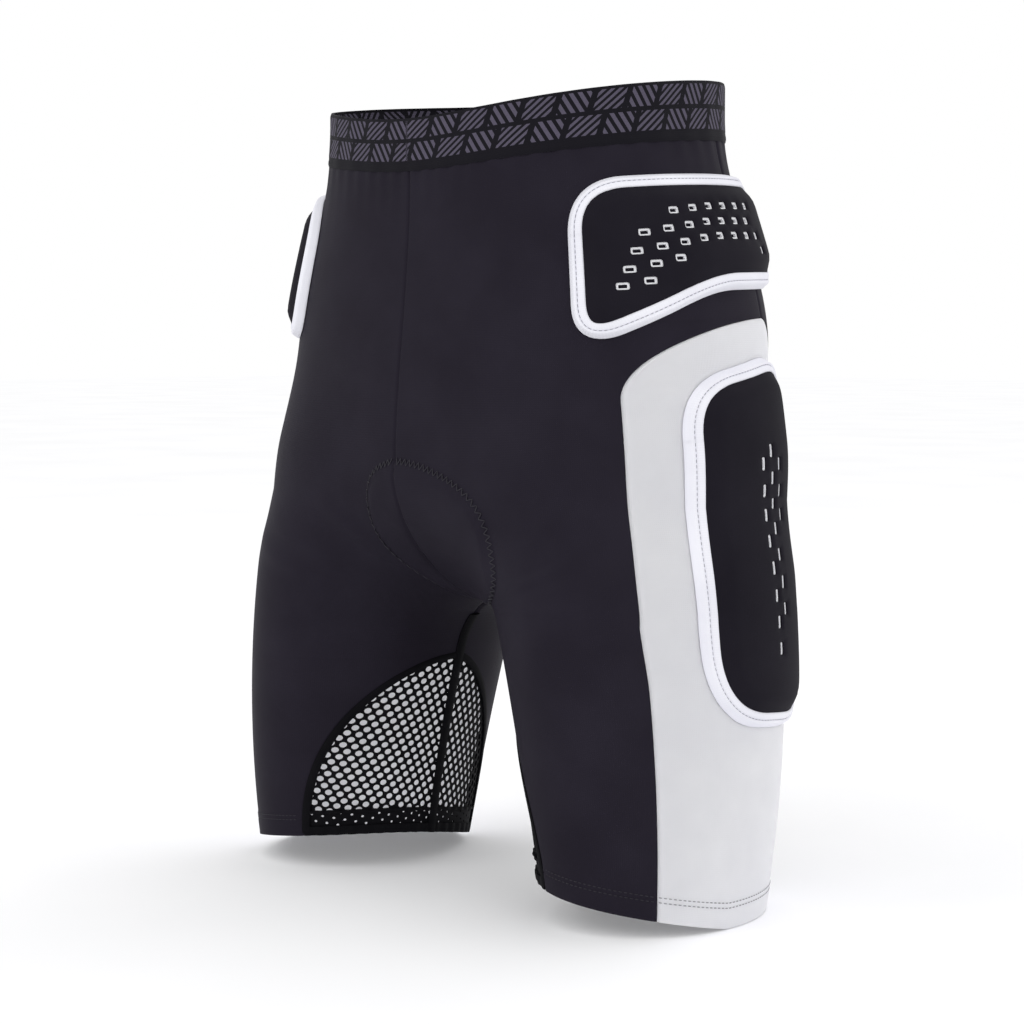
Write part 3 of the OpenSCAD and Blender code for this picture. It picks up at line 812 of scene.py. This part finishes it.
def net_cells(front):
    """Centres of the holes on one side of the inseam, in millimetres round and height."""
    way = 1 if front else -1
    steps = range(-NET_COUNT, NET_COUNT + 1)
    centres = [i * NET_A + j * NET_B for i in steps for j in steps]
    return [(w, s) for w, s in centres if NET_START < s < MESH_TOP + NET_OVER
            and NET_CLEAR <= way * w <= net_reach(s, front)]


def net_mesh(cells):
    """Flat net: each cell is a parallelogram with a round hole."""
    index, points, faces = {}, [], []
    a, b = NET_A / 2, NET_B / 2
    corners = np.array([a - b, a + b, b - a, -a - b, a - b])

    def point(x, y):
        key = (round(x, 2), round(y, 2))
        if key not in index:
            index[key] = len(points)
            points.append((x, y))
        return index[key]

    for w, s in cells:
        hole = HEM_HOLE if s < HEM_BAND else NET_HOLE
        rim, ring = [], []
        for k in range(12):
            x, y = mix(corners[k // 3], corners[k // 3 + 1], k % 3 / 3)
            rim.append(point(w + x, s + y))
            size = math.hypot(x, y)
            points.append((w + hole * x / size, s + hole * y / size))
            ring.append(len(points) - 1)
        for k in range(12):
            m = (k + 1) % 12
            faces.append([ring[k], rim[k], rim[m], ring[m]])
    return np.array(points), np.array(faces)


def make_net(side, front):
    part = "front" if front else "rear"
    flat, faces = net_mesh(net_cells(front))
    flat[:, 1] = np.maximum(flat[:, 1], NET_FLOOR)
    base = around(flat[:, 0], flat[:, 1], GIRTH_LEG)
    sink = NET_SINK * ease((np.abs(flat[:, 0]) - NET_RISE) / NET_RISE_RUN)
    obj = layered(f"net_{part}_{side}", outward(base, sink), outward(base, sink - NET), faces,
                  NETTING, side=side, uv=flat, stands_for=[f"mesh_{part}_{side}"])
    rows, share = np.linspace(0, MESH_TOP - 1, 30), np.linspace(0, 1, 12)
    reach = np.array([net_reach(s, front) for s in rows])
    w = reach[:, None] * share[None, :] * (1 if front else -1)
    s = np.repeat(rows[:, None], len(share), 1)
    declare(obj, cut_size(around(w, s, GIRTH_LEG)), net_trims(side, front))


# How deep the back of a ribbon lies under the skin, and the pitch of its ripples
RIBBON_BACK, RIPPLE_PITCH = 2.0, 9.0
# Half widths of the net's seam, its hem's fold and its stitched line, the fold's height, and
# how far inside the net's edge the seam runs
SEAM_WIDTH, FOLD_WIDTH, LINE_WIDTH, FOLD_AT, SEAM_IN = 2.3, 3.3, 1.0, 3.3, 1.2
# Height of the inseam tape's top and its half width
INSEAM_TOP, INSEAM_HALF = 150.0, 3.4


def ribbon(name, path, half, crown, side, ripple=0.0):
    """Raised tape along a path given in millimetres round the leg and height."""
    on = unit(np.gradient(path, axis=0))
    across = np.linspace(-half, half, 7)
    off = np.stack([-on[:, 1], on[:, 0]], 1)
    q = path[:, None, :] + across[None, :, None] * off[:, None, :]
    q[..., 1] = np.maximum(q[..., 1], 0)
    base = around(q[..., 0], q[..., 1], GIRTH_LEG).reshape(-1, 3)
    along = run_length(path)[:, None] + 0 * across
    wave = ripple * np.sin(2 * np.pi * along / RIPPLE_PITCH)
    height = crown * (1 - 0.6 * (across / half) ** 2) + wave
    uv = columns(along, 0 * along + across)
    obj = layered(name, outward(base, height.ravel()), outward(base, wave.ravel() - RIBBON_BACK),
                  grid_faces(*along.shape), SEAM, side=side, uv=uv)
    flip_if_inside_out(obj)
    return obj


def net_trims(side, front):
    """Overlocked seam round the net, its folded hem, and the stitched line above that."""
    part = "front" if front else "rear"
    a = np.radians(np.linspace(1, 89, 60))
    if front:
        w = (MESH_FRONT * GIRTH_LEG - SEAM_IN) * np.cos(a)
    else:
        w = -(MESH_REAR * GIRTH_LEG - SEAM_IN) * np.cos(a) ** 1.5
    path = np.stack([w, (MESH_TOP - SEAM_IN) * np.sin(a)], 1)
    out = [ribbon(f"net_{part}_seam_{side}", path, SEAM_WIDTH, 0.7, side)]
    for name, s, half in (("fold", FOLD_AT, FOLD_WIDTH), ("line", HEM_BAND, LINE_WIDTH)):
        w = np.linspace(3.0, net_reach(s, front) - NET_LAP, 70) * (1 if front else -1)
        path = np.stack([w, np.full(len(w), s)], 1)
        out.append(ribbon(f"net_{part}_hem_{name}_{side}", path, half, 0.4, side, 0.35))
    return out


def make_inseam(side):
    """Ribbed tape over the inseam, from the hem to the crotch."""
    rows = np.linspace(0, INSEAM_TOP, 76)
    across = np.linspace(-INSEAM_HALF, INSEAM_HALF, 9)
    w, s = np.meshgrid(across, rows)
    base = around(w.ravel(), s.ravel(), GIRTH_LEG)
    crown = 0.5 + 0.7 * (1 - (w.ravel() / 3.6) ** 2)
    layered(f"inseam_strip_{side}", outward(base, crown), outward(base, 0 * crown),
            grid_faces(*w.shape), SEAM, side=side, uv=columns(w, s),
            stands_for=[f"inseam_tape_{side}"])


# ---- waistband ----
# Height of the band over the skin and how far above the panels' top it begins; how it thins
# at its edges, the woven line near its lower edge, and slow waves round the waist
BAND_LIFT, BAND_CLEAR = 1.1, 0.4
BAND_THIN, BAND_THIN_RUN = 0.6, 1.2
BAND_LINE, BAND_LINE_AT, BAND_LINE_HALF = 0.3, 5.2, 0.9
BAND_WAVE, BAND_WAVE_PITCH = 0.18, 23.0


def make_waistband():
    """Elastic band all round, from the front middle over the left side."""
    rows = HEIGHT - BAND + BAND_CLEAR + (BAND - BAND_CLEAR) * spread(26)
    half = skin(*np.meshgrid(np.linspace(0, 1, 181), rows))
    other = half[:, -2:0:-1] * [-1, 1, 1]
    ring = np.concatenate([half, other], 1)
    steps = np.linalg.norm(np.diff(ring, axis=1), axis=-1).max(0)
    u = np.concatenate([[0], np.cumsum(steps)])
    v = rows - rows[0]
    n = ring.shape[1]
    edge = np.minimum(v, v[-1] - v)
    lift = BAND_LIFT - BAND_THIN * bell(edge, BAND_THIN_RUN)
    lift = lift - BAND_LINE * bell(v - BAND_LINE_AT, BAND_LINE_HALF)
    wave = BAND_WAVE * np.sin(2 * np.pi * u / BAND_WAVE_PITCH)
    lift = (lift[:, None] + wave[None, :]).ravel()
    base = ring.reshape(-1, 3)
    uv = columns(*np.meshgrid(u, v))
    obj = layered("waist_elastic", outward(base, lift), outward(base, lift - BAND_THICK),
                  grid_faces(len(rows), n, wrap=True), ELASTIC, uv=uv,
                  stands_for=["waistband_elastic"], slot="elastic_band")
    declare(obj, cut_size(ring))


def make_label():
    """Blank label that hangs inside the back of the waistband."""
    swing, curl, thick = 1.2, 0.5, 0.5
    low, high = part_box("care_label")
    size = np.array(high) - np.array(low)
    x, q = np.meshgrid(np.linspace(-1, 1, 17), np.linspace(0, 1, 25))
    y = high[1] * 1000 + DEPTH_MID - swing * (1 - q) ** 2 - curl * x ** 2
    width, length = size[0] * 1000, size[2] * 1000
    p = vec(x * width / 2, y, low[2] * 1000 + q * length).reshape(-1, 3)
    back = p + [0, -thick, 0]
    uv = columns(x * width / 2, q * length)
    obj = layered("blank_label", back, p, grid_faces(*x.shape), SATIN, uv=uv,
                  stands_for=["care_label"], slot="label_cloth")
    declare(obj, (size[0], size[2], size[0] * size[2]))


# ---- pads ----
def side_chart(q):
    """Skin point for millimetres behind the middle of the side and a height."""
    return skin(steady(0.5 + q[..., 0] / GIRTH, q[..., 1]), q[..., 1])


def back_chart(q):
    """Skin point for millimetres from the back middle and a height."""
    p = skin(1 - np.abs(q[..., 0]) / GIRTH_BACK, q[..., 1])
    p[..., 0] *= np.where(q[..., 0] < 0, 1, -1)
    return p


def raised(chart, q, d):
    """A chart point d out from the skin."""
    return outward_both(chart(q), d)


# Slots: how much wider the guide loop round each is, how much smaller the well through the
# foam, how deep and thick the dark plug of painted shade in each well lies, and how far the
# cover's rounding at its edge reaches
SLOT_GUIDE, SLOT_WELL, SHADE_PLUG_DEPTH, SHADE_PLUG_THICK, SLOT_SOFT = 1.3, -1.1, 1.4, 0.6, 0.7
# Binding: half width, half width and height of a lobe, points across and spacing along
TAPE_HALF, LOBE, LOBE_H, TAPE_COLS, TAPE_PITCH = 4.3, 2.1, 1.25, 19, 2.0
# Length of a straight stitch
STITCH = 1.9


def pad_height(d):
    """Thickness of the foam at a distance d from its edge."""
    return FOAM_H * mix(PAD_EDGE, 1.0, ease(d / PAD_RAMP))


def hip_slots():
    """Rows of slots that start further forward one below the other and dip there."""
    pitch, width, tall = 13.4, 6.5, 4.4
    rows = [(412.0, 0.08, -23.5, 6), (403.0, 0.12, -42.0, 7), (394.3, 0.15, -47.0, 8),
            (387.0, 0.20, -51.5, 3), (377.6, 0.19, -55.5, 2), (386.0, 0.0, 51.0, 1)]
    return [(start + pitch * i, s + slope * min(start + pitch * i, 0), width, tall)
            for s, slope, start, count in rows for i in range(count)]


def thigh_slots():
    """Three staggered columns of upright slots that lean forward as they rise."""
    pitch, apart, width, tall = 15.1, 8.4, 3.6, 7.2
    first, lean, lean_from = 16.5, 0.08, 263
    out = []
    for column, (start, count) in enumerate(((157.0, 8), (179.0, 7), (232.0, 3))):
        for i in range(count):
            s = start + pitch * i
            out.append((first + apart * column + lean * (lean_from - s), s, width, tall))
    return out


def make_pad(name, node, corners, slots, chart, side="left"):
    """Foam core, slotted cover and binding of one pad."""
    edge = outline(corners)
    holes = [slot_loop(c[:2], c[2], c[3]) for c in slots]
    guides = [slot_loop(c[:2], c[2], c[3], SLOT_GUIDE) for c in slots]
    wells = [slot_loop(c[:2], c[2], c[3], SLOT_WELL) for c in slots]

    q, tris = fill(edge, wells)
    h = pad_height(edge_distance(q, edge)[0])
    core = layered(f"{name}_core", raised(chart, q, GAP + h), raised(chart, q, GAP + 0 * h),
                   tris, PAD_FOAM, side=side, stands_for=[f"{node}_foam"], sharp=40)

    # Painted shade: dark plugs a little way down the wells of the slots.
    if slots:
        make_shade_plugs(name, chart, edge, [fill(loop, pitch=1.5) for loop in wells], side)

    q, tris = fill(edge, holes, guides)
    h = pad_height(edge_distance(q, edge)[0])
    dip = np.zeros(len(q))
    for loop in holes:
        dip = np.maximum(dip, bell(edge_distance(q, loop)[0], SLOT_SOFT))
    low = 2 * GAP + h - 0.3 * dip
    face = layered(f"{name}_face", raised(chart, q, low + COVER_H - 0.35 * dip),
                   raised(chart, q, low), tris, COVER, side=side, uv=q,
                   stands_for=[f"{node}_cover"], sharp=55)
    make_binding(name, node, edge, chart, side)


def make_shade_plugs(name, chart, edge, patches, side):
    """Painted shade in the slots: sheets in the pad cover's dark colour, set a little way down
    each well in place of the shade on its walls; the black cloth at the well's real bottom lies
    further down.
    """
    verts, faces, flat = [], [], []
    for q, tris in patches:
        h = GAP + pad_height(edge_distance(q, edge)[0]) - SHADE_PLUG_DEPTH
        v, f = closed(raised(chart, q, h), raised(chart, q, h - SHADE_PLUG_THICK), tris)
        faces += [[k + len(verts) for k in face] for face in f]
        verts += v.tolist()
        flat += q.tolist() * 2
    build(f"{name}_slot_shade_plugs", np.array(verts), faces, COVER, side=side, uv=flat)


def tape_section():
    """Two rounded lobes with a groove between them, as (across, height) pairs."""
    across = np.linspace(-TAPE_HALF, TAPE_HALF, TAPE_COLS)
    d = np.maximum(-across, 0)
    under = 2 * GAP + pad_height(d) + COVER_H
    fall = ease(across / TAPE_HALF)
    base = np.where(across > 0, mix(under, 1.0, fall ** 1.6), under)
    lobe = np.sqrt(np.clip(1 - ((np.abs(across) - LOBE) / LOBE) ** 2, 0, 1))
    top = base + LOBE_H * lobe
    low = [(TAPE_HALF, GAP), (0.5, GAP), (0.2, under[len(across) // 2] - 0.5),
           (-TAPE_HALF, under[0] - 0.3)]
    return np.array(list(zip(across, top)) + low)


def evenly(edge, pitch):
    """The outline with its points the same distance apart."""
    line = np.concatenate([edge, edge[:1]])
    whole = run_length(line)[-1]
    return points_at(line, np.linspace(0, whole, int(whole / pitch), endpoint=False))


def make_binding(name, node, edge, chart, side):
    """Folded tape round a pad's edge, with a row of stitches in its groove."""
    loop = evenly(edge, TAPE_PITCH)
    on = unit(np.roll(loop, -1, 0) - np.roll(loop, 1, 0))
    out = np.stack([on[:, 1], -on[:, 0]], 1)
    away = np.sign(np.cross(loop - loop.mean(0), on))[:, None]
    out = out * away
    section = tape_section()
    q = loop[:, None, :] + out[:, None, :] * section[None, :, :1]
    heights = np.repeat(section[None, :, 1], len(loop), 0)
    ring = raised(chart, q, heights)
    n, k = ring.shape[:2]
    faces = grid_faces(n + 1, k, wrap=True) % (n * k)
    if away[0, 0] < 0:
        faces = faces[:, ::-1]
    v, u = np.meshgrid(np.arange(k) * 1.0, np.arange(n) * TAPE_PITCH)
    tape = build(f"{name}_binding_tape", ring.reshape(-1, 3), faces.tolist(), TAPE, side=side,
                 uv=columns(u, v), stands_for=[f"{node}_binding"])
    flip_if_inside_out(tape)
    middle = raised(chart, loop, np.full(n, section[TAPE_COLS // 2, 1] + 0.12))
    line = np.concatenate([middle, middle[:1]])
    capsules(f"{name}_stitches", dashes(line, 3.1, STITCH), 0.3, GREY_THREAD, side=side,
             slot="white_tape")


# ---- seat pad inside the crotch ----
# Rows along each half of the pad, columns from its middle to its edge, and the spacing that
# the knit's pattern takes them to have
SEAT_ROWS, SEAT_COLS, SEAT_U, SEAT_V = 40, 16, 5.0, 4.0
# Channel pressed along each half: depth, then place and width as shares of the half width
CHANNEL, CHANNEL_AT, CHANNEL_HALF = 1.2, 0.5, 0.05
# Least thickness of the foam
SEAT_THIN = 0.3


def seat_ribs(rows, half):
    """Grid of skin points over the pad's area, one row for each rib from edge to edge."""
    edges = np.array(SEAT_FRONT + SEAT_REAR, float)
    keys = np.arange(len(edges), dtype=float)
    front = len(SEAT_FRONT)
    at = np.concatenate([np.linspace(0, front - 1, rows),
                         np.linspace(front, len(edges) - 1, rows)])
    t, s, start = (np.interp(at, keys, edges[:, i]) for i in range(3))
    share = np.linspace(0, 1, half + 1)
    t0 = np.where(at < front - 0.5, 0.0, 1.0)
    tt = mix(t0[:, None], t[:, None], share[None, :])
    ss = mix(start[:, None], s[:, None], share[None, :])
    right = skin(tt, ss)
    left = right[:, ::-1][:, :-1] * [-1, 1, 1]
    return np.concatenate([left, right], 1)


def seat_layer(name, node, depth, thick, finish, channels):
    """One layer of the seat pad, full in the middle and thin at its edge."""
    grid = seat_ribs(SEAT_ROWS, SEAT_COLS)
    rows, cols = grid.shape[:2]
    share = np.abs(np.linspace(-1, 1, cols))[None, :]
    full = np.cos(share * np.pi / 2 * 0.93) ** 0.6
    along = np.sin(np.pi * np.clip(np.linspace(0.04, 0.96, rows), 0, 1))[:, None] ** 0.4
    body = thick * (full * along if channels else np.ones((rows, cols)))
    if channels:
        body = body - CHANNEL * bell(share - CHANNEL_AT, CHANNEL_HALF) * along
    flat = grid.reshape(-1, 3)
    top = outward_both(flat, np.full(len(flat), -depth))
    low = outward_both(flat, -depth - np.maximum(body, SEAT_THIN).ravel())
    uv = columns(*np.meshgrid(np.arange(cols) * SEAT_U, np.arange(rows) * SEAT_V))
    obj = layered(name, top, low, grid_faces(rows, cols), finish, uv=uv, stands_for=[node])
    flip_if_inside_out(obj)


# ---- stitch rows ----
def make_hem_stitches(side):
    """Double rows round the hem, pale on the white panel and dark beside it."""
    t = np.linspace(0, 1, 400)
    white = (t > SIDE_FRONT) & (t < SIDE_REAR_LOW)
    black = (t > MESH_FRONT + 0.01) & (t < 1 - MESH_REAR - 0.01) & ~white
    for name, keep, finish, slot in (("white", white, GREY_THREAD, "white_tape"),
                                     ("black", black, DARK_THREAD, "seam_tape")):
        kept = np.arange(len(t))[keep]
        chunks = np.split(kept, np.where(np.diff(kept) > 1)[0] + 1)
        pairs = []
        for s in HEM_ROWS:
            line = outward(skin(t, np.full(len(t), s)), np.full(len(t), 0.25))
            for chunk in chunks:
                pairs += dashes(line[chunk], 3.0, STITCH)
        capsules(f"hem_stitches_{name}_{side}", pairs, 0.28, finish, side=side, slot=slot)


def make_seat_stitches(side):
    """Zigzag row round the edge that the seat pad shows through the cloth."""
    pitch, swing, bare_end, longest = 2.3, 1.4, 25, 9
    line = SEAT_HALVES[side]
    line = points_at(line, np.arange(0, run_length(line)[-1] - bare_end, pitch))
    on = unit(np.gradient(line, axis=0))
    across = np.stack([on[:, 1], -on[:, 0]], 1)
    wiggle = line + across * (swing * (-1) ** np.arange(len(line)))[:, None]
    u, s = wiggle[wiggle[:, 0] >= 0].T
    p = outward(skin(u / SEAT_GIRTH, s), seat_relief(u, s, side) + 0.1)
    pairs = [(a, b) for a, b in zip(p[:-1], p[1:]) if np.linalg.norm(b - a) < longest]
    capsules(f"seat_zigzag_{side}", pairs, 0.33, DARK_THREAD, side=side,
             slot="seam_tape")


# ---- the whole object ----
for side_name in SIDES:
    make_panels(side_name)
    for in_front in (True, False):
        make_net(side_name, in_front)
    make_inseam(side_name)
    make_hem_stitches(side_name)
    make_seat_stitches(side_name)
    for pad, corners, slots in (("hip", HIP_CORNERS, hip_slots()),
                                ("thigh", THIGH_CORNERS, thigh_slots())):
        make_pad(f"{pad}_{side_name}", f"{pad}_pad_{side_name}", corners, slots, side_chart,
                 side_name)
make_pad("tailbone", "tailbone_pad", TAIL_CORNERS, [], back_chart)
make_waistband()
make_label()
seat_layer("seat_core", "seat_pad_foam", SEAT_DEPTH, SEAT_H, SEAT_FOAM, True)
seat_layer("seat_face", "seat_pad_liner", SEAT_DEPTH + SEAT_H + GAP, LINER_H, LINER, False)


# ---- floor, light and camera ----
def make_floor():
    """Wide pale floor that glows a little, so that it reads as white."""
    n = Nodes("floor_paint")
    n.paint(n.noise(3.0), (0.86, 0.86, 0.87), (0.90, 0.90, 0.91))
    n.set(Roughness=0.9, Specular_IOR_Level=0.0, Emission_Strength=0.11)
    n.shader.inputs["Emission Color"].default_value = (1, 1, 1, 1)
    mesh = bpy.data.meshes.new("floor")
    half, z = 14.0, -0.0005
    corners = [(-half, -half, z), (half, -half, z), (half, half, z), (-half, half, z)]
    mesh.from_pydata(corners, [], [[0, 1, 2, 3]])
    mesh.materials.append(n.mat)
    new_object("floor", mesh)


def lamp(name, where, aim, size, watts):
    data = bpy.data.lights.new(name, "AREA")
    data.shape = "DISK"
    data.size = size
    data.energy = watts
    obj = new_object(name, data)
    obj.location = where
    obj.rotation_euler = (Vector(aim) - Vector(where)).to_track_quat("-Z", "Y").to_euler()


def make_light():
    world = bpy.data.worlds.new("studio")
    world.use_nodes = True
    sky = world.node_tree.nodes["Background"]
    sky.inputs["Color"].default_value = (1, 1, 1, 1)
    sky.inputs["Strength"].default_value = 1.0
    bpy.context.scene.world = world
    bpy.context.scene.view_settings.view_transform = "Standard"
    middle = (0, 0, 0.25)
    lamp("key", (-0.9, -2.0, 1.7), middle, 1.2, 7)
    lamp("fill", (2.3, -1.0, 1.0), middle, 1.4, 4)
    lamp("top", (0.3, 0.9, 2.4), middle, 1.6, 5)


def make_camera():
    """The photograph's view, from the wearer's front left."""
    azimuth, elevation, distance = math.radians(44.26), math.radians(3.9), 1.4832
    aim = Vector((-0.00466, -DEPTH_MID / 1000, 0.23725))
    back = Vector((math.sin(azimuth) * math.cos(elevation),
                   -math.cos(azimuth) * math.cos(elevation), math.sin(elevation)))
    data = bpy.data.cameras.new("camera")
    data.angle = math.radians(24.35)
    data.shift_y = -0.0158
    camera = new_object("camera", data)
    camera.location = aim + back * distance
    camera.rotation_euler = (-back).to_track_quat("-Z", "Y").to_euler()
    bpy.context.scene.camera = camera


make_floor()
make_light()
make_camera()
bpy.context.view_layer.update()
for row in SHEETS:
    print("SHEET", *row)
